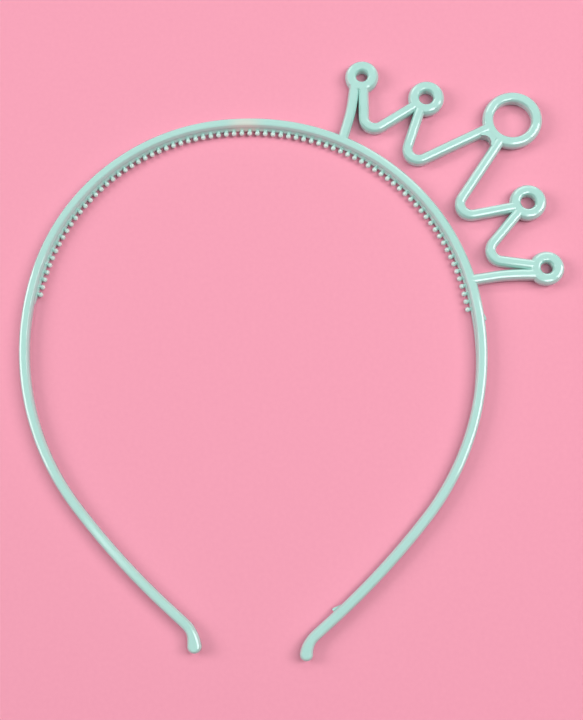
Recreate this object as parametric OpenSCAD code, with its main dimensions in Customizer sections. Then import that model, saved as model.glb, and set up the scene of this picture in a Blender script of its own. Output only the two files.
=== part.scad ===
// Mini crown headband, one injection moulding in plastic, lying flat on its underside.
// X runs across the band, Y runs from its tips to its top, Z is up from the surface that it lies on.
// The band follows a chain of arcs from the middle of its top, the same on both sides, and the mini crown
// stands on the outer side of its right shoulder. Every form is in the one plane and fused to the rest.

/* [Part] */
// which node to draw

/* [Band] */
// thickness of the band, in the plane that it lies in
band_t = 2.75; // [2:0.05:5]
// depth of the whole moulding, its height as it lies
depth = 3.6; // [3:0.1:8]
// radius of the band's long edges
band_edge = 0.9; // [0.3:0.1:1.6]
// radius of the band's middle line across the top of the head
crest_r = 71.3; // [50:0.5:100]
// angle that the crest arc turns through on each side
crest_turn = 7; // [2:0.5:20]
// radius over the right shoulder, where the crown stands
shoulder_r = 62.9; // [45:0.1:80]
// radius over the left shoulder, a little tighter
left_shoulder_r = 57.8; // [45:0.1:80]
// angle that the right shoulder arc turns through
shoulder_turn = 67.7; // [50:0.1:80]
// angle that the left shoulder arc turns through
left_shoulder_turn = 68; // [50:0.1:80]
// radius down the side of the head
side_r = 72; // [50:0.5:100]
// angle that the right side arc turns through
side_turn = 53.1; // [40:0.1:65]
// angle that the left side arc turns through
left_side_turn = 54.4; // [40:0.1:65]
// radius of the slack arc above the free end
slack_r = 212; // [100:1:400]
// angle that the slack arc turns through
slack_turn = 9.9; // [2:0.1:15]
// straight run between the slack arc and the right tip
slack_run = 5.1; // [4:0.1:25]
// the same run at the left tip
left_slack_run = 6.3; // [4:0.1:25]

/* [Tips] */
// radius of the out-turned bend, middle line
tip_r = 7; // [5:0.5:20]
// angle that the tip turns out through
tip_turn = 42; // [10:1:60]
// straight run at the right tip, up to the middle of its round end
tip_run = 0.3; // [0.1:0.1:10]
// the same run at the left tip
left_tip_run = 1.2; // [0.1:0.1:10]
// width of the right tip at its round end, wider than the band
tip_d = 3.4; // [2.8:0.1:6]
// width of the left tip at its round end
left_tip_d = 3.7; // [2.8:0.1:6]
// share of the bend behind the place where a tip begins to widen
tip_from = 0.3; // [0:0.1:1]

/* [Comb] */
// distance between pegs along the band's middle line
peg_pitch = 2.28; // [1.6:0.02:4]
// place of the comb's middle peg, along the band's middle line from the crest
comb_mid = 3.5; // [-10:0.1:10]
// length of band that the comb takes on each side of its middle
comb_half = 87; // [30:1:110]
// diameter of a peg
peg_d = 1.4; // [0.8:0.05:2]
// length that a peg stands out from the inner side of the band
peg_l = 2; // [0.8:0.1:4]
// height of the pegs' middle line above the underside
peg_z = 1.8; // [1:0.1:4]
// rounding of a peg's end
peg_round = 0.3; // [0.1:0.05:0.6]

/* [Mini crown] */
// width of the crown's bars and legs, in the plane that it lies in
bar_t = 2.8; // [2:0.1:5]
// radius of the long edges of the crown's bars and legs
bar_edge = 0.9; // [0.3:0.1:1.6]
// place of the crown's axis, along the band's middle line from the crest
crown_at = 55.3; // [30:0.5:80]
// lean of the crown's axis from square to the band, toward the crest
crown_lean = 0.8; // [-15:0.5:15]
// place of the right leg's root, along the band's middle line from the crown's axis
right_leg_at = 27.2; // [15:0.1:45]
// place of the left leg's root, the other way
left_leg_at = 27.4; // [15:0.1:45]
// bow of each leg toward the crown's axis, at the middle of its length
leg_bow = 0.6; // [0.2:0.1:3]
// straight run at each end of a leg
leg_run = 6; // [2:0.5:8]
// height of the inner valleys' corners above the band's middle line
inner_valley_up = 0.7; // [-2:0.1:10]
// distance of the inner valleys' corners from the crown's axis
inner_valley_out = 9.6; // [5:0.1:20]
// height of the outer valleys' corners
outer_valley_up = -0.1; // [-2:0.1:10]
// distance of the outer valleys' corners from the crown's axis
outer_valley_out = 23.5; // [15:0.1:35]
// radius of the bend in each valley, middle line
valley_r = 3.1; // [2:0.1:6]

/* [Rings] */
// height of the big ring's middle above the band's middle line
big_up = 33; // [25:0.1:60]
// outer diameter of the big ring
big_d = 16.5; // [10:0.1:24]
// hole of the big ring
big_hole = 10.3; // [5:0.1:16]
// height of the two small rings next to it
mid_up = 20; // [15:0.1:50]
// distance of these two from the crown's axis
mid_out = 20.4; // [12:0.5:30]
// outer diameter of these two
mid_d = 9.9; // [7:0.1:15]
// hole of these two
mid_hole = 3.9; // [2:0.1:8]
// height of the two end rings
end_up = 11.1; // [10:0.5:40]
// distance of the end rings from the crown's axis
end_out = 37.2; // [25:0.5:50]
// outer diameter of the end rings
end_d = 9.3; // [6:0.1:15]
// hole of the end rings
end_hole = 3.2; // [2:0.1:8]
// radius of the rings' outer rims
rim_edge = 1.1; // [0.3:0.1:1.8]
// radius of the rims of their holes
hole_edge = 0.7; // [0.2:0.1:1.2]
// distance below the big ring's middle where its two bars end
big_root = 5.7; // [3:0.1:8]
// distance of these two ends from the crown's axis
big_root_out = 2.2; // [1:0.1:4]
// distance below the small rings' middles where their bars end
mid_root = 1.1; // [0:0.1:3]
// distance inside the end rings' middles, toward the axis, where the zigzag ends
end_root_in = 0.6; // [0:0.1:2]
// distance below the end rings' middles where the legs end
leg_root = 1.9; // [0:0.1:3]
// distance outside the end rings' middles where the legs end
leg_root_out = 0.6; // [0:0.1:3]
// depth of the web that closes the corner between these two bars
web_l = 1.6; // [0.4:0.1:4]

/* [Moulding marks] */
// place of the strip of flash, along the band's middle line from the crest
flash_at = 181.2; // [100:0.1:190]
// length of the flash along the band
flash_l = 2.6; // [1:0.1:6]
// height that the flash stands out from the band's inner side
flash_out = 0.8; // [0.3:0.1:1.5]
// thickness of the flash, across the moulding's parting plane
flash_t = 0.5; // [0.2:0.1:1]
// place of the gate nub, along the band's middle line from the crest
nub_at = 92; // [60:0.5:100]
// length of the nub
nub_l = 1.8; // [1:0.1:4]
// thickness of the nub
nub_t = 1; // [0.2:0.1:2]
// height that the nub stands out from the band's outer side
nub_out = 0.45; // [0.2:0.05:1]

/* [Hidden] */
green = [0.72, 0.9, 0.83];
arc_step = 4;
bend_step = 12;
edge_steps = 2;
ring_fn = 24;
peg_fn = 8;
band_e = min(band_edge, 0.45*band_t, 0.45*depth);
bar_e = min(bar_edge, 0.45*bar_t, 0.45*depth);

// a side of the band as moves: radius, turn (anticlockwise is positive), straight run
function moves(radius, shoulder, side, slack, run) = [[crest_r, -crest_turn, 0], [radius, -shoulder, 0],
  [side_r, -side, 0], [slack_r, -slack_turn, 0], [0, 0, slack], [tip_r, tip_turn, 0], [0, 0, run]];
RIGHT = moves(shoulder_r, shoulder_turn, side_turn, slack_run, tip_run);
LEFT = moves(left_shoulder_r, left_shoulder_turn, left_side_turn, left_slack_run, left_tip_run);

// place and heading a share f of the way along one move
function along(p, m, f) = m[0] == 0
  ? [p[0] + m[2]*f*cos(p[2]), p[1] + m[2]*f*sin(p[2]), p[2]]
  : let (s = sign(m[1]), a = p[2] + m[1]*f)
    [p[0] + s*m[0]*(sin(a) - sin(p[2])), p[1] - s*m[0]*(cos(a) - cos(p[2])), a];
function steps(m) = m[0] == 0 ? 1 : ceil(abs(m[1])/(m[0] > 2*tip_r ? arc_step : bend_step));
function run_of(m) = m[0] == 0 ? m[2] : m[0]*abs(m[1])*PI/180;
function walk(p, moves, i = 0) = i == len(moves) ? [p] : let (m = moves[i], n = steps(m))
  concat([for (k = [0 : n - 1]) along(p, m, k/n)], walk(along(p, m, 1), moves, i + 1));
function reach(p, moves, s, i = 0) = let (m = moves[i], l = run_of(m))
  (s <= l || i == len(moves) - 1) ? along(p, m, s/l) : reach(along(p, m, 1), moves, s - l, i + 1);
function flip(p) = [-p[0], p[1], -p[2]];
// place and heading at a length along the band's middle line from the crest, negative on the left
function on_band(s) = s < 0 ? flip(reach([0, 0, 0], LEFT, -s)) : reach([0, 0, 0], RIGHT, s);
function beside(p, a) = [p[0] - a*sin(p[2]), p[1] + a*cos(p[2])];
right_band = walk([0, 0, 0], RIGHT);
left_band = walk([0, 0, 0], LEFT);
whole_band = concat([for (i = [len(left_band) - 1 : -1 : 1]) flip(left_band[i])], right_band);
function length_of(moves, i = 0) = i == len(moves) ? 0 : run_of(moves[i]) + length_of(moves, i + 1);
// both tips: place of the round end, place where the widening begins, width at the end
bend = tip_r*tip_turn*PI/180*(1 - tip_from);
TIPS = [[on_band(length_of(RIGHT)), on_band(length_of(RIGHT) - tip_run - bend), tip_d],
  [on_band(-length_of(LEFT)), on_band(-length_of(LEFT) + left_tip_run + bend), left_tip_d]];

// the crown's own frame: up along its axis, out across it, positive toward the right tip
foot = on_band(crown_at);
axis = foot[2] + 90 + crown_lean;
function spot(up, out) = [foot[0] + up*cos(axis) + out*sin(axis), foot[1] + up*sin(axis) - out*cos(axis)];
function arrow(a, b) = atan2(b[1] - a[1], b[0] - a[0]);
// rings: height, distance from the axis, outer diameter, hole
RINGS = [[big_up, 0, big_d, big_hole],
  [mid_up, -mid_out, mid_d, mid_hole], [mid_up, mid_out, mid_d, mid_hole],
  [end_up, -end_out, end_d, end_hole], [end_up, end_out, end_d, end_hole]];

// the box round it all, which puts its middle at the origin
edge_points = concat([for (p = whole_band, a = [-1, 1]) beside(p, a*band_t/2)],
  [for (r = RINGS, a = [0 : 90 : 270]) spot(r[0], r[1]) + r[2]/2*[cos(a), sin(a)]],
  [for (p = TIPS) [p[0][0], p[0][1] - p[2]/2]]);
x_mid = (min([for (p = edge_points) p[0]]) + max([for (p = edge_points) p[0]]))/2;
y_mid = (min([for (p = edge_points) p[1]]) + max([for (p = edge_points) p[1]]))/2;

// to the nearest thousandth, so that the faces of a straight bar stay flat and heights stay level
function snap(v) = round(v*1000)/1000;
// rounded section of a band or bar: across, height
function section(t, e) = [for (q = [0 : 3], k = [0 : edge_steps])
  let (b = 90*(q + k/edge_steps), sx = q % 3 == 0 ? 1 : -1, sz = q < 2 ? 1 : -1)
  [sx*(t/2 - e) + e*cos(b), snap(depth/2 + sz*(depth/2 - e) + e*sin(b))]];
// one closed solid with that section at every station of a path
module sweep(path, sec) {
  m = len(sec);
  n = len(path);
  polyhedron([for (p = path, q = sec) [snap(p[0]) - snap(q[0]*sin(p[2])), snap(p[1]) + snap(q[0]*cos(p[2])), q[1]]],
    concat([[for (j = [0 : m - 1]) j]], [[for (j = [m - 1 : -1 : 0]) (n - 1)*m + j]],
      [for (i = [0 : n - 2], j = [0 : m - 1])
        [i*m + j, (i + 1)*m + j, (i + 1)*m + (j + 1) % m, i*m + (j + 1) % m]]));
}
module at(p) { translate([p[0], p[1], 0]) rotate([0, 0, p[2]]) children(); }
// a closed solid turned round the Z axis: radius, height
module lathe(prof) {
  m = ring_fn;
  n = len(prof);
  polyhedron([for (q = prof, k = [0 : m - 1]) [q[0]*cos(360*k/m), q[0]*sin(360*k/m), q[1]]],
    concat([[for (k = [0 : m - 1]) k]], [[for (k = [m - 1 : -1 : 0]) (n - 1)*m + k]],
      [for (i = [0 : n - 2], k = [0 : m - 1])
        [i*m + k, (i + 1)*m + k, (i + 1)*m + (k + 1) % m, i*m + (k + 1) % m]]));
}
// round puck with rounded rims
module puck(r, e) {
  hull() for (k = [0 : 2]) translate([0, 0, snap(e - e*cos(45*k))])
    cylinder(r = r - e + e*sin(45*k), h = depth - 2*snap(e - e*cos(45*k)), $fn = ring_fn);
}
// what a ring's hole takes away, wider at both rims
module hole(r, e) {
  lathe(concat([[r + e, -1]], [for (k = [0 : 2]) [r + e - e*sin(45*k), snap(e - e*cos(45*k))]],
    [for (k = [0 : 2]) [r + e - e*cos(45*k), snap(depth - e + e*sin(45*k))]], [[r + e, depth + 1]]));
}

module band() { sweep(whole_band, section(band_t, band_e)); }

// the two out-turned tips widen to round ends
module tips() {
  for (p = TIPS) hull() {
    at(p[0]) rotate([0, 0, 180/ring_fn]) puck(p[2]/2, band_e);
    at(p[1]) rotate([0, 0, 180/ring_fn]) puck(band_t/2, band_e);
  }
}

// pegs square to the band's inner side, an equal length of band apart
module comb() {
  n = floor(comb_half/peg_pitch);
  for (i = [-n : n]) at(on_band(comb_mid + i*peg_pitch)) translate([0, 0, peg_z]) rotate([90, 0, 0]) hull() {
    cylinder(d = peg_d, h = band_t/2 + peg_l - peg_round, $fn = peg_fn);
    cylinder(d = peg_d - 2*peg_round, h = band_t/2 + peg_l, $fn = peg_fn);
  }
}

// bar, bend, bar
module vee(a, w, b) {
  h = arrow(a, w);
  d = (arrow(w, b) - h + 540) % 360 - 180;
  t = valley_r*tan(abs(d)/2);
  sweep(walk([a[0], a[1], h], [[0, 0, norm(w - a) - t], [valley_r, d, 0], [0, 0, norm(b - w) - t]]),
    section(bar_t, bar_e));
}
module zigzag() {
  for (s = [-1, 1]) {
    vee(spot(big_up - big_root, s*big_root_out), spot(inner_valley_up, s*inner_valley_out),
      spot(mid_up - mid_root, s*mid_out));
    vee(spot(mid_up - mid_root, s*mid_out), spot(outer_valley_up, s*outer_valley_out),
      spot(end_up, s*(end_out - end_root_in)));
  }
}
module legs() {
  for (s = [-1, 1]) {
    a = on_band(crown_at + (s > 0 ? right_leg_at : -left_leg_at));
    b = spot(end_up - leg_root, s*(end_out + leg_root_out));
    l = norm([b[0] - a[0], b[1] - a[1]]);
    turn = 8*leg_bow/(l + 2*leg_run)*180/PI;
    r = (l/2 - leg_run*cos(turn/2))/sin(turn/2);
    sweep(walk([a[0], a[1], arrow(a, b) + s*turn/2], [[0, 0, leg_run], [r, -s*turn, 0], [0, 0, leg_run]]),
      section(bar_t, bar_e));
  }
}

// closes the corner between the two bars under the big ring
module web() {
  low = big_up - big_d/2 - web_l;
  out = big_root_out + (big_up - big_root - low)*(inner_valley_out - big_root_out)/(big_up - big_root - inner_valley_up);
  translate([0, 0, bar_e]) linear_extrude(depth - 2*bar_e)
    polygon([spot(big_up - big_root, 0), spot(low, out), spot(low + web_l*0.6, 0), spot(low, -out)]);
}

module crown() {
  difference() {
    union() {
      zigzag();
      legs();
      web();
      for (r = RINGS) translate(spot(r[0], r[1])) puck(r[2]/2, rim_edge);
    }
    for (r = RINGS) translate(spot(r[0], r[1])) hole(r[3]/2, hole_edge);
  }
}

// a strip of flash on the inner side and a gate nub on the outer side, both thickest toward the tip
module marks() {
  at(on_band(flash_at)) translate([0, -band_t/2, (depth - flash_t)/2]) linear_extrude(flash_t)
    polygon([[0, band_t/4], [0, 0], [flash_l, -flash_out], [flash_l, band_t/4]]);
  at(on_band(nub_at)) translate([0, band_t/2, (depth - nub_t)/2]) linear_extrude(nub_t)
    polygon([[0, -band_t/4], [0, 0], [nub_l, nub_out], [nub_l, -band_t/4]]);
}

module headband() color(green) translate([-x_mid, -y_mid, 0]) {
  band();
  tips();
  comb();
  crown();
  marks();
}

headband();
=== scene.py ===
import math

import bmesh
import bpy
from mathutils import Matrix, Vector


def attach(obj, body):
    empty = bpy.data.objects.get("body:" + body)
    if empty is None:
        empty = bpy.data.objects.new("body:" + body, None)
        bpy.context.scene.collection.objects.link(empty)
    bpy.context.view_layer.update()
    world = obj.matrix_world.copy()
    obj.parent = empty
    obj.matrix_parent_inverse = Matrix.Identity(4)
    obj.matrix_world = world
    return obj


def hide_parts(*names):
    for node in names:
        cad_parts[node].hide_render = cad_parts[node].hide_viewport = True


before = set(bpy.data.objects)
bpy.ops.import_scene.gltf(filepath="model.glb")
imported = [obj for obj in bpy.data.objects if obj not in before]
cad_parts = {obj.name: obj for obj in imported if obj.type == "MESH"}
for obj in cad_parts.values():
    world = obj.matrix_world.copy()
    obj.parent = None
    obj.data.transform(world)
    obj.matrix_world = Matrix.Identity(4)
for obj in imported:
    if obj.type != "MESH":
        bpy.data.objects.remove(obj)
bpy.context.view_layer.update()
mm = 0.001


# The camera hangs about 318 mm above the paper, over the open end of the band, and leans some 12 degrees
# from straight down. Its lens is shifted a little to the side, as in a picture that was trimmed later.
camera_at = Vector((16.9165, -66.6116, 317.78)) * mm
lean_across, lean_up, roll = -5.2234, 11.3082, 0.0004
look = Vector((math.tan(math.radians(lean_across)), math.tan(math.radians(lean_up)), -1)).normalized()
level = Vector((1, roll, 0))
across = (level - look * look.dot(level)).normalized()
upward = across.cross(look)
lens = bpy.data.cameras.new("camera")
lens.sensor_fit = "AUTO"
lens.sensor_width = 36
lens.lens = 59.90
lens.shift_x = 0.0671
lens.clip_start, lens.clip_end = 0.01, 10
camera = bpy.data.objects.new("camera", lens)
camera.matrix_world = Matrix.Translation(camera_at) @ Matrix((across, upward, -look)).transposed().to_4x4()
bpy.context.scene.collection.objects.link(camera)
bpy.context.scene.camera = camera
bpy.context.scene.view_settings.view_transform = "Standard"


# The headband lies on a sheet of plain pale pink paper. The paper has a fine tooth and very slightly uneven
# colour, and carries on past the edges of the picture.
def mesh_object(name, bm):
    mesh = bpy.data.meshes.new(name)
    bm.to_mesh(mesh)
    bm.free()
    piece = bpy.data.objects.new(name, mesh)
    bpy.context.scene.collection.objects.link(piece)
    return piece


def shader_nodes(name):
    material = bpy.data.materials.new(name)
    material.use_nodes = True
    tree = material.node_tree
    return material, tree.nodes, tree.links, tree.nodes["Principled BSDF"]


def colour_mix(nodes, links, first, second, share):
    mix = nodes.new("ShaderNodeMix")
    mix.data_type = "RGBA"
    for socket, colour in ((mix.inputs[6], first), (mix.inputs[7], second)):
        if isinstance(colour, tuple):
            socket.default_value = colour + (1,)
        else:
            links.new(colour, socket)
    links.new(share, mix.inputs[0])
    return mix.outputs[2]


sheet_size, sheet_drop = 1.2, 0.01
deeper_pink, paler_pink = (0.93, 0.355, 0.475), (0.97, 0.385, 0.505)
sheet = bmesh.new()
bmesh.ops.create_grid(sheet, x_segments=1, y_segments=1, size=sheet_size)
bmesh.ops.translate(sheet, verts=sheet.verts, vec=(0, 0, -sheet_drop * mm))
paper = mesh_object("paper", sheet)
pink, nodes, links, shader = shader_nodes("pink paper")
shader.inputs["Roughness"].default_value = 0.85
shader.inputs["Specular IOR Level"].default_value = 0.2
place = nodes.new("ShaderNodeTexCoord")
spot_noise = nodes.new("ShaderNodeTexNoise")
spot_noise.inputs["Scale"].default_value = 900
spot_noise.inputs["Detail"].default_value = 4
links.new(place.outputs["Object"], spot_noise.inputs["Vector"])
links.new(colour_mix(nodes, links, deeper_pink, paler_pink, spot_noise.outputs["Fac"]),
          shader.inputs["Base Color"])
tooth = nodes.new("ShaderNodeBump")
tooth.inputs["Strength"].default_value = 0.15
tooth.inputs["Distance"].default_value = 0.00005
links.new(spot_noise.outputs["Fac"], tooth.inputs["Height"])
links.new(tooth.outputs["Normal"], shader.inputs["Normal"])
paper.data.materials.append(pink)


# Plain studio light: a large soft light part way up on each side of the table, a smaller one overhead to the
# right, a weak one overhead to the left, a long one high beyond the far side, and a faint even glow.
def soft_light(name, at, size, power):
    lamp = bpy.data.lights.new(name, "AREA")
    lamp.shape = "RECTANGLE"
    lamp.size, lamp.size_y = size
    lamp.energy = power
    holder = bpy.data.objects.new(name, lamp)
    holder.location = at
    holder.rotation_euler = (Vector((0, 0, 0)) - Vector(at)).to_track_quat("-Z", "Y").to_euler()
    bpy.context.scene.collection.objects.link(holder)


soft_light("left light", (-0.80, 0.12, 0.60), (0.55, 0.55), 4.8)
soft_light("right light", (0.67, 0.12, 0.73), (0.45, 0.50), 4.6)
soft_light("left overhead light", (-0.285, -0.105, 0.92), (0.19, 0.17), 0.3)
soft_light("right overhead light", (0.27, -0.08, 0.92), (0.38, 0.24), 1.8)
soft_light("far light", (0.0, 0.72, 0.85), (0.9, 0.25), 2.0)
room = bpy.data.worlds.new("room")
room.use_nodes = True
room.node_tree.nodes["Background"].inputs["Color"].default_value = (1, 1, 1, 1)
room.node_tree.nodes["Background"].inputs["Strength"].default_value = 0.09
bpy.context.scene.world = room


# The band is the horseshoe that goes over the head, one moulding in glossy plastic 3.6 mm deep. Its middle
# line runs in arcs from the top of the head down each side to a tip that turns out, widens and ends round.
# Each face is a narrow flat between two gently sloping facets, with steeper sides down to an upright wall.
depth = 3.6
band_wide, band_round = 2.75, 0.9
# A stretch of a course is its radius, its turn in degrees and, where it is straight, its run.
right_course = [(71.3, -7, 0), (62.9, -67.7, 0), (72, -53.1, 0), (212, -9.9, 0), (0, 0, 5.1), (7, 42, 0),
                (0, 0, 0.3)]
left_course = [(71.3, -7, 0), (57.8, -68, 0), (72, -54.4, 0), (212, -9.9, 0), (0, 0, 6.3), (7, 42, 0),
               (0, 0, 1.2)]
right_tip_wide, left_tip_wide, tip_from = 3.4, 3.7, 3.6
middle_x, middle_y = 12.5358, -64.2134
turn_step, band_gap, tip_parts = 7, 1.2, 20
# A facet of an edge is its tilt in degrees and its share of the edge's width.
facets = ((13, 0.42), (36, 0.08), (57, 0.40), (67, 0.05), (78, 0.05))


def partway(here, stretch, share):
    x, y, heading = here
    radius, turn, run = stretch
    if radius == 0:
        return (x + run * share * math.cos(heading), y + run * share * math.sin(heading), heading)
    way = math.copysign(1, turn)
    after = heading + math.radians(turn) * share
    return (x + way * radius * (math.sin(after) - math.sin(heading)),
            y - way * radius * (math.cos(after) - math.cos(heading)), after)


def length_of(stretch):
    radius, turn, run = stretch
    return run if radius == 0 else radius * math.radians(abs(turn))


def stations(here, course, gap):
    places = [here]
    for stretch in course:
        count = max(1, math.ceil(length_of(stretch) / gap), math.ceil(abs(stretch[1]) / turn_step))
        places += [partway(here, stretch, k / count) for k in range(1, count + 1)]
        here = places[-1]
    return places


def flipped(here):
    return (-here[0], here[1], -here[2])


def on_band(reach):
    course = left_course if reach < 0 else right_course
    here, left_over = (0, 0, 0), abs(reach)
    for stretch in course:
        if left_over <= length_of(stretch):
            break
        here, left_over = partway(here, stretch, 1), left_over - length_of(stretch)
    here = partway(here, stretch, left_over / length_of(stretch))
    return flipped(here) if reach < 0 else here


def side_profile(edge):
    corner = [(edge, depth)]
    for tilt, share in facets:
        inset, height = corner[-1]
        step = edge * share
        corner.append((inset - step, height - step * math.tan(math.radians(tilt))))
    return corner + [(inset, depth - height) for inset, height in reversed(corner)]


def put(bm, x, y, height):
    return bm.verts.new(((x - middle_x) * mm, (y - middle_y) * mm, height * mm))


def strip(name, places, wides, edge, round_ends=False):
    bm = bmesh.new()
    loops = []
    end_parts = range(1, tip_parts) if round_ends else ()
    for inset, height in side_profile(edge):
        halves = [wide / 2 - inset for wide in wides]
        left = [(x - half * math.sin(heading), y + half * math.cos(heading))
                for (x, y, heading), half in zip(places, halves)]
        right = [(x + half * math.sin(heading), y - half * math.cos(heading))
                 for (x, y, heading), half in zip(places, halves)]
        ends = []
        for at, start in ((-1, math.pi / 2), (0, -math.pi / 2)):
            (x, y, heading), half = places[at], halves[at]
            swings = [heading + start - math.pi * k / tip_parts for k in end_parts]
            ends.append([(x + half * math.cos(swing), y + half * math.sin(swing)) for swing in swings])
        loop = left + ends[0] + right[::-1] + ends[1]
        loops.append([put(bm, x, y, height) for x, y in loop])
    around, along = len(loops[0]), len(places)
    for upper, lower in zip(loops, loops[1:]):
        for k in range(around):
            if round_ends or k not in (along - 1, around - 1):
                bm.faces.new((upper[k], upper[(k + 1) % around], lower[(k + 1) % around], lower[k]))
    for loop in (loops[0], loops[-1]):
        left, far = loop[:along], loop[along:along + len(end_parts)]
        right, near = loop[along + len(far):][:along][::-1], loop[around - len(end_parts):]
        for k in range(along - 1):
            bm.faces.new((left[k], right[k], right[k + 1], left[k + 1]))
        if round_ends:
            bm.faces.new([left[-1], right[-1]] + far[::-1])
            bm.faces.new([right[0], left[0]] + near[::-1])
    if not round_ends:
        for down, up in ((along - 1, along), (around - 1, 0)):
            bm.faces.new([loop[down] for loop in loops] + [loop[up] for loop in reversed(loops)])
    bmesh.ops.recalc_face_normals(bm, faces=bm.faces)
    return mesh_object(name, bm)


def half_band(course, tip_wide):
    places = stations((0, 0, 0), course, band_gap)
    reach, wides = [0], []
    for here, after in zip(places, places[1:]):
        reach.append(reach[-1] + math.hypot(after[0] - here[0], after[1] - here[1]))
    for so_far in reach:
        widened = min(1, max(0, 1 - (reach[-1] - so_far) / tip_from))
        wides.append(band_wide + (tip_wide - band_wide) * widened)
    return places, wides


right_places, right_wides = half_band(right_course, right_tip_wide)
left_places, left_wides = half_band(left_course, left_tip_wide)
band = strip("band", [flipped(p) for p in left_places[:0:-1]] + right_places, left_wides[:0:-1] + right_wides,
             band_round, round_ends=True)


# Where the comb is, the inner side of the band runs out to a low ledge that carries the pegs. It is moulded
# in one with the band and dies away past the last pegs, slowly on the right.
ledge_from, ledge_to, ledge_steps = -86, 114, 140
ledge_out, ledge_faded, left_fade, right_fade = 0.4, 0.02, 3, 22
ledge_high, ledge_low, ledge_slant = 1.35, 0.5, 0.35
top_in, top_drop, foot_in, foot_up = 0.72, 0.07, 0.6, 0.02


def ledge_section(out):
    side = -band_wide / 2 - out
    return [(-top_in, depth - top_drop), (side, ledge_high), (side, ledge_low), (side + ledge_slant, foot_up),
            (-foot_in, foot_up)]


ledge_mesh = bmesh.new()
rows = []
for k in range(ledge_steps + 1):
    reach = ledge_from + (ledge_to - ledge_from) * k / ledge_steps
    x, y, heading = on_band(reach)
    right_share = max(ledge_faded, (ledge_to - reach) / right_fade)
    left_share = max(ledge_faded, (reach - ledge_from) / left_fade)
    section = ledge_section(ledge_out * min(1, right_share, left_share))
    rows.append([put(ledge_mesh, x - out * math.sin(heading), y + out * math.cos(heading), height)
                 for out, height in section])
for one, next_one in zip(rows, rows[1:]):
    for k in range(len(one)):
        after = (k + 1) % len(one)
        ledge_mesh.faces.new((one[k], one[after], next_one[after], next_one[k]))
ledge_mesh.faces.new(rows[0])
ledge_mesh.faces.new(rows[-1])
bmesh.ops.recalc_face_normals(ledge_mesh, faces=ledge_mesh.faces)
ledge = mesh_object("ledge", ledge_mesh)


# The mini crown stands on the outer side of the right shoulder: a zigzag of bars with round bends between
# two bowed legs, all fused to the band in the one moulding.
bar_wide, bar_round = 2.8, 0.9
crown_at, crown_lean = 55.3, 0.8
right_leg_at, left_leg_at, leg_bow, leg_run = 27.2, -27.4, 0.6, 6.0
inner_valley, outer_valley, valley_round = (0.7, 9.6), (-0.1, 23.5), 3.1
big_spot, middle_spot, end_spot = (33.0, 0), (20.0, 20.4), (11.1, 37.2)
big_root, big_root_out, middle_root, end_root_in = 5.7, 2.2, 1.1, 0.6
leg_root, leg_root_out, bend_gap, leg_gap = 1.9, 0.6, 3, 2
crown_foot = on_band(crown_at)
crown_axis = crown_foot[2] + math.radians(90 + crown_lean)


def in_crown(up, out):
    return Vector((crown_foot[0] + up * math.cos(crown_axis) + out * math.sin(crown_axis),
                   crown_foot[1] + up * math.sin(crown_axis) - out * math.cos(crown_axis)))


def bar(name, here, course, gap):
    places = stations(here, course, gap)
    return strip(name, places, [bar_wide] * len(places), bar_round)


def bent_bar(name, start, corner, end):
    first, second = (corner - start), (end - corner)
    heading = math.atan2(first.y, first.x)
    bend = (math.atan2(second.y, second.x) - heading + math.pi) % (2 * math.pi) - math.pi
    taken = valley_round * math.tan(abs(bend) / 2)
    course = [(0, 0, first.length - taken), (valley_round, math.degrees(bend), 0),
              (0, 0, second.length - taken)]
    return bar(name, (start.x, start.y, heading), course, bend_gap)


crown_bars = []
for side, word in ((-1, "left"), (1, "right")):
    top = in_crown(big_spot[0] - big_root, side * big_root_out)
    inner = in_crown(inner_valley[0], side * inner_valley[1])
    middle = in_crown(middle_spot[0] - middle_root, side * middle_spot[1])
    outer = in_crown(outer_valley[0], side * outer_valley[1])
    end = in_crown(end_spot[0], side * (end_spot[1] - end_root_in))
    crown_bars.append(bent_bar(word + " inner valley", top, inner, middle))
    crown_bars.append(bent_bar(word + " outer valley", middle, outer, end))
    x, y = on_band(crown_at + (right_leg_at if side > 0 else left_leg_at))[:2]
    root, tip = Vector((x, y)), in_crown(end_spot[0] - leg_root, side * (end_spot[1] + leg_root_out))
    span = (tip - root).length
    # A shallow arc turns by eight times its bow over its span, and straight runs count as more span.
    turn = 8 * leg_bow / (span + 2 * leg_run)
    radius = (span / 2 - leg_run * math.cos(turn / 2)) / math.sin(turn / 2)
    heading = math.atan2(tip.y - root.y, tip.x - root.x) + side * turn / 2
    course = [(0, 0, leg_run), (radius, -side * math.degrees(turn), 0), (0, 0, leg_run)]
    crown_bars.append(bar(word + " leg", (x, y, heading), course, leg_gap))


# A ring sits on each of the five points of the crown, one large in the middle, two small, and two smaller
# at the ends. Their rims are rounded like the band's edges, and their holes flare a little at both faces.
def turned(bm, profile, around, frame_at):
    rows = []
    for radius, height in profile:
        swings = [2 * math.pi * k / around for k in range(1 if radius == 0 else around)]
        spots = [Vector((radius * math.cos(swing) * mm, radius * math.sin(swing) * mm, height * mm))
                 for swing in swings]
        rows.append([bm.verts.new(frame_at @ spot) for spot in spots])
    for low, high in zip(rows, rows[1:]):
        lows, highs = len(low), len(high)
        for k in range(around):
            corners = (low[k % lows], low[(k + 1) % lows], high[(k + 1) % highs], high[k % highs])
            bm.faces.new([v for i, v in enumerate(corners) if v not in corners[:i]])
    return rows


def on_paper(x, y, turn=0.0):
    moved = Matrix.Translation(Vector(((x - middle_x) * mm, (y - middle_y) * mm, 0)))
    return moved @ Matrix.Rotation(turn, 4, "Z")


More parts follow.
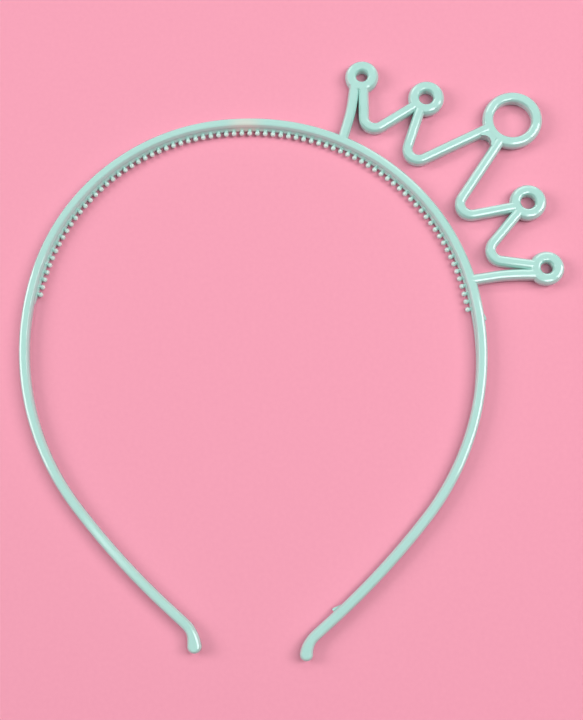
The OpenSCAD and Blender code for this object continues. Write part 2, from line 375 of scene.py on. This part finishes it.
# A row is the ring's name, its place up and out in the crown, its width and its hole.
ring_table = [("big", (big_spot[0], 0.2), 16.2, 10.3),
              ("left middle", (middle_spot[0], -middle_spot[1]), 9.9, 3.9),
              ("right middle", middle_spot, 9.9, 3.9),
              ("left end", (end_spot[0], -end_spot[1]), 9.3, 3.2),
              ("right end", end_spot, 9.3, 3.2)]
rim_round, hole_round = 1.1, 0.7
rim_parts, hole_parts, past_faces = 72, 64, 1
pucks = []
holes = bmesh.new()
for word, spot, wide, hole in ring_table:
    centre = in_crown(*spot)
    puck = bmesh.new()
    rim = [(wide / 2 - inset, height) for inset, height in side_profile(rim_round)]
    turned(puck, [(0, depth)] + rim + [(0, 0)], rim_parts, on_paper(centre.x, centre.y))
    bmesh.ops.recalc_face_normals(puck, faces=puck.faces)
    pucks.append(mesh_object(word + " ring", puck))
    mouth = hole / 2 + hole_round
    bore = [(hole / 2 + inset, height) for inset, height in side_profile(hole_round)]
    above, below = depth + past_faces, -past_faces
    turned(holes, [(0, above), (mouth, above)] + bore + [(mouth, below), (0, below)], hole_parts,
           on_paper(centre.x, centre.y))
bmesh.ops.recalc_face_normals(holes, faces=holes.faces)
holes = mesh_object("holes", holes)


# Between the two bars under the big ring the mould leaves a small web. A strip of flash stands out on the
# inner side of the right leg, and the stub of a gate on the outer side of the band below the crown.
def plate(name, outline, low, high):
    bm = bmesh.new()
    face = bm.faces.new([put(bm, x, y, low) for x, y in outline])
    raised = bmesh.ops.extrude_face_region(bm, geom=[face])["geom"]
    upper = [v for v in raised if isinstance(v, bmesh.types.BMVert)]
    bmesh.ops.translate(bm, vec=(0, 0, (high - low) * mm), verts=upper)
    bmesh.ops.recalc_face_normals(bm, faces=bm.faces)
    return mesh_object(name, bm)


def beside_band(reach, onward, out):
    x, y, heading = on_band(reach)
    return (x + onward * math.cos(heading) - out * math.sin(heading),
            y + onward * math.sin(heading) + out * math.cos(heading))


web_round, web_long, web_inset = 16.5, 1.6, 0.03
root_up, web_low = big_spot[0] - big_root, big_spot[0] - web_round / 2 - web_long
web_out = big_root_out + (root_up - web_low) * (inner_valley[1] - big_root_out) / (root_up - inner_valley[0])
arch = [(web_low + 0.5, 1.7), (web_low + 1.0, 1.25), (web_low + 1.35, 0.65), (web_low + 1.45, 0)]
right_half = [(root_up, 0), (web_low, web_out)] + arch
left_half = [(up, -out) for up, out in arch[2::-1]] + [(web_low, -web_out)]
web = plate("web", [in_crown(up, out) for up, out in right_half + left_half], web_inset, depth - web_inset)
face_at, mark_root = band_wide / 2, 0.7
flash_at, flash_half, gate_at, gate_half = 181.2, 0.25, 92, 0.5
flash_edge = [(0, -mark_root), (0, -face_at), (1.4, -face_at - 0.5), (2.4, -face_at - 0.8),
              (2.7, -face_at - 0.6), (2.8, -mark_root)]
flash = plate("flash", [beside_band(flash_at, on, out) for on, out in flash_edge],
              depth / 2 - flash_half, depth / 2 + flash_half)
gate_edge = [(0, mark_root), (0, face_at), (0.9, face_at + 0.3), (1.7, face_at + 0.45), (1.9, face_at + 0.3),
             (2.0, mark_root)]
gate_stub = plate("gate stub", [beside_band(gate_at, on, out) for on, out in gate_edge],
                  depth / 2 - gate_half, depth / 2 + gate_half)


# All of it leaves the mould as one solid. The ledge, bars, rings, web and marks are fused to the band here,
# and the holes of the rings are open right through.
def fused(base, others, how):
    for other in others:
        step = base.modifiers.new("join", "BOOLEAN")
        step.operation, step.solver, step.object = how, "MANIFOLD", other
    bpy.context.view_layer.update()
    made = bpy.data.meshes.new_from_object(base.evaluated_get(bpy.context.evaluated_depsgraph_get()))
    base.modifiers.clear()
    base.data = made
    for other in others:
        bpy.data.objects.remove(other)


def smoothed(piece, crease):
    for face in piece.data.polygons:
        face.use_smooth = True
    piece.data.set_sharp_from_angle(angle=math.radians(crease))


flat_crease = 12
headband = band
fused(headband, [ledge] + crown_bars + pucks + [web, flash, gate_stub], "UNION")
fused(headband, [holes], "DIFFERENCE")
headband.name = "mint_headband"
smoothed(headband, flat_crease)
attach(headband, "root")
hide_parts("headband")


# The plastic is an opaque pale mint with a polished, glossy skin. Its colour drifts a little where it flowed
# in the mould, its skin has a faint ripple and fine rubbed patches, and it is a little pinker over the gate
# at the middle of the crest. A hair-thin parting line runs round the middle of its depth.
def input_socket(group, name, value):
    group.interface.new_socket(name=name, in_out="INPUT", socket_type="NodeSocketFloat").default_value = value


skin = bpy.data.node_groups.new("moulded skin", "ShaderNodeTree")
input_socket(skin, "Ripple size", 120)
input_socket(skin, "Rub size", 700)
for name in ("Drift", "Rub", "Height"):
    skin.interface.new_socket(name=name, in_out="OUTPUT", socket_type="NodeSocketFloat")
nodes, links = skin.nodes, skin.links
group_in, group_out = nodes.new("NodeGroupInput"), nodes.new("NodeGroupOutput")
place = nodes.new("ShaderNodeTexCoord")


def noise(nodes, links, vector, scale, detail, rough=0.5):
    made = nodes.new("ShaderNodeTexNoise")
    made.inputs["Detail"].default_value = detail
    made.inputs["Roughness"].default_value = rough
    if isinstance(scale, (int, float)):
        made.inputs["Scale"].default_value = scale
    else:
        links.new(scale, made.inputs["Scale"])
    links.new(vector, made.inputs["Vector"])
    return made.outputs["Fac"]


def between(nodes, links, value, low, high, to_low=0.0, to_high=1.0):
    made = nodes.new("ShaderNodeMapRange")
    made.interpolation_type = "SMOOTHSTEP"
    for socket, number in zip(made.inputs[1:5], (low, high, to_low, to_high)):
        socket.default_value = number
    links.new(value, made.inputs[0])
    return made.outputs[0]


def sum_of(nodes, links, first, second, how="ADD"):
    made = nodes.new("ShaderNodeMath")
    made.operation = how
    for socket, value in zip(made.inputs, (first, second)):
        if isinstance(value, (int, float)):
            socket.default_value = value
        else:
            links.new(value, socket)
    return made.outputs[0]


drift = noise(nodes, links, place.outputs["Object"], scale=60, detail=3)
links.new(drift, group_out.inputs["Drift"])
rub_grain = noise(nodes, links, place.outputs["Object"], group_in.outputs["Rub size"], detail=6, rough=0.7)
rub_patch = noise(nodes, links, place.outputs["Object"], scale=90, detail=2)
rubbed = sum_of(nodes, links, between(nodes, links, rub_grain, low=0.5, high=0.68),
                between(nodes, links, rub_patch, low=0.48, high=0.66), "MULTIPLY")
links.new(rubbed, group_out.inputs["Rub"])
ripple = noise(nodes, links, place.outputs["Object"], group_in.outputs["Ripple size"], detail=2)
links.new(ripple, group_out.inputs["Height"])
rub_rough = 0.22


def mint_plastic(name, full, pale, base_rough):
    material, nodes, links, shader = shader_nodes(name)
    surface = nodes.new("ShaderNodeGroup")
    surface.node_tree = skin
    paleness = between(nodes, links, surface.outputs["Drift"], low=0.3, high=0.7)
    tone = colour_mix(nodes, links, full, pale, paleness)
    rub = sum_of(nodes, links, surface.outputs["Rub"], rub_rough, "MULTIPLY")
    links.new(sum_of(nodes, links, rub, base_rough), shader.inputs["Roughness"])
    shader.inputs["IOR"].default_value = 1.53
    shader.inputs["Coat Weight"].default_value = 0.8
    shader.inputs["Coat Roughness"].default_value = 0.07
    return material, nodes, links, shader, surface, tone


full_mint, pale_mint, gate_tone = (0.480, 0.800, 0.726), (0.502, 0.816, 0.746), (0.80, 0.78, 0.70)
gate_in, gate_share, blush_from, blush_to = 2.0, 0.6, 1.0, 7.0
mint, nodes, links, shader, surface, tone = mint_plastic(
    "mint plastic", full_mint, pale_mint, base_rough=0.11)
place = nodes.new("ShaderNodeTexCoord")
from_gate = nodes.new("ShaderNodeVectorMath")
from_gate.operation = "DISTANCE"
from_gate.inputs[1].default_value = (-middle_x * mm, (-middle_y - gate_in) * mm, depth * gate_share * mm)
links.new(place.outputs["Object"], from_gate.inputs[0])
blush = between(nodes, links, from_gate.outputs["Value"], blush_from * mm, blush_to * mm,
                to_low=0.8, to_high=0.0)
links.new(colour_mix(nodes, links, tone, gate_tone, blush), shader.inputs["Base Color"])
where = nodes.new("ShaderNodeSeparateXYZ")
links.new(place.outputs["Object"], where.inputs[0])
above_middle = sum_of(nodes, links, where.outputs["Z"], depth / 2 * mm, "SUBTRACT")
from_middle = sum_of(nodes, links, above_middle, 0, "ABSOLUTE")
parting = between(nodes, links, from_middle, low=0.02 * mm, high=0.08 * mm, to_low=1.0, to_high=0.0)
relief = nodes.new("ShaderNodeBump")
relief.inputs["Strength"].default_value = 0.35
relief.inputs["Distance"].default_value = 0.00004
links.new(sum_of(nodes, links, surface.outputs["Height"], parting), relief.inputs["Height"])
links.new(relief.outputs["Normal"], shader.inputs["Normal"])
headband.data.materials.clear()
headband.data.materials.append(mint)


# The comb is a row of 77 small pegs with ball ends on the inner side of the band. They are moulded with it,
# square to it and an equal length of band apart. Their colour is painted a little darker than the band's as
# painted shade, and paler towards the ball ends as a painted highlight.
peg_pitch, comb_middle, comb_reach = 2.28, 3.5, 87
peg_long, peg_half, peg_up = 1.9, 0.7, 1.25
neck_half, neck_end, root_sunk = peg_half * 0.72, peg_long - peg_half * 1.75, 0.6
peg_parts, peg_crease = 20, 50
pegs = bmesh.new()
along = pegs.verts.layers.float.new("along peg")
ball_angles = [math.radians(angle) for angle in (-36, -18, 0, 18, 36, 54, 72)]
ball = [(peg_half * math.cos(angle), peg_long - peg_half + peg_half * math.sin(angle))
        for angle in ball_angles]
peg_profile = [(0, -root_sunk), (neck_half, -root_sunk), (neck_half, neck_end)] + ball + [(0, peg_long)]
count = math.floor(comb_reach / peg_pitch)
for k in range(-count, count + 1):
    x, y, heading = on_band(comb_middle + k * peg_pitch)
    inward = Matrix.Translation((0, -band_wide / 2 * mm, peg_up * mm)) @ Matrix.Rotation(math.pi / 2, 4, "X")
    peg_rows = turned(pegs, peg_profile, peg_parts, on_paper(x, y, heading) @ inward)
    for row, spot in zip(peg_rows, peg_profile):
        for corner in row:
            corner[along] = max(0.0, spot[1] / peg_long)
bmesh.ops.recalc_face_normals(pegs, faces=pegs.faces)
comb = mesh_object("comb", pegs)
smoothed(comb, peg_crease)
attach(comb, "root")
# Painted shade: the pegs' own tones are set a little darker than the band's mint, though they are the same
# plastic.
painted_shade_root, painted_shade_root_pale, painted_highlight_end = (0.46, 0.77, 0.69), (0.49, 0.80, 0.72), (0.82, 0.90, 0.84)
peg_mint_painted_light, nodes, links, shader, surface, tone = mint_plastic(
    "peg mint plastic with painted light", painted_shade_root, painted_shade_root_pale, base_rough=0.20)
toward_end = nodes.new("ShaderNodeAttribute")
toward_end.attribute_name = "along peg"
# Painted highlight: the peg colour is mixed towards a pale tone along the peg, strongest at the ball end.
painted_highlight_share = between(nodes, links, toward_end.outputs["Fac"], low=0.25, high=1.0, to_low=0.0, to_high=0.75)
links.new(colour_mix(nodes, links, tone, painted_highlight_end, painted_highlight_share), shader.inputs["Base Color"])
relief = nodes.new("ShaderNodeBump")
relief.inputs["Strength"].default_value = 0.3
relief.inputs["Distance"].default_value = 0.00003
links.new(surface.outputs["Height"], relief.inputs["Height"])
links.new(relief.outputs["Normal"], shader.inputs["Normal"])
comb.data.materials.append(peg_mint_painted_light)
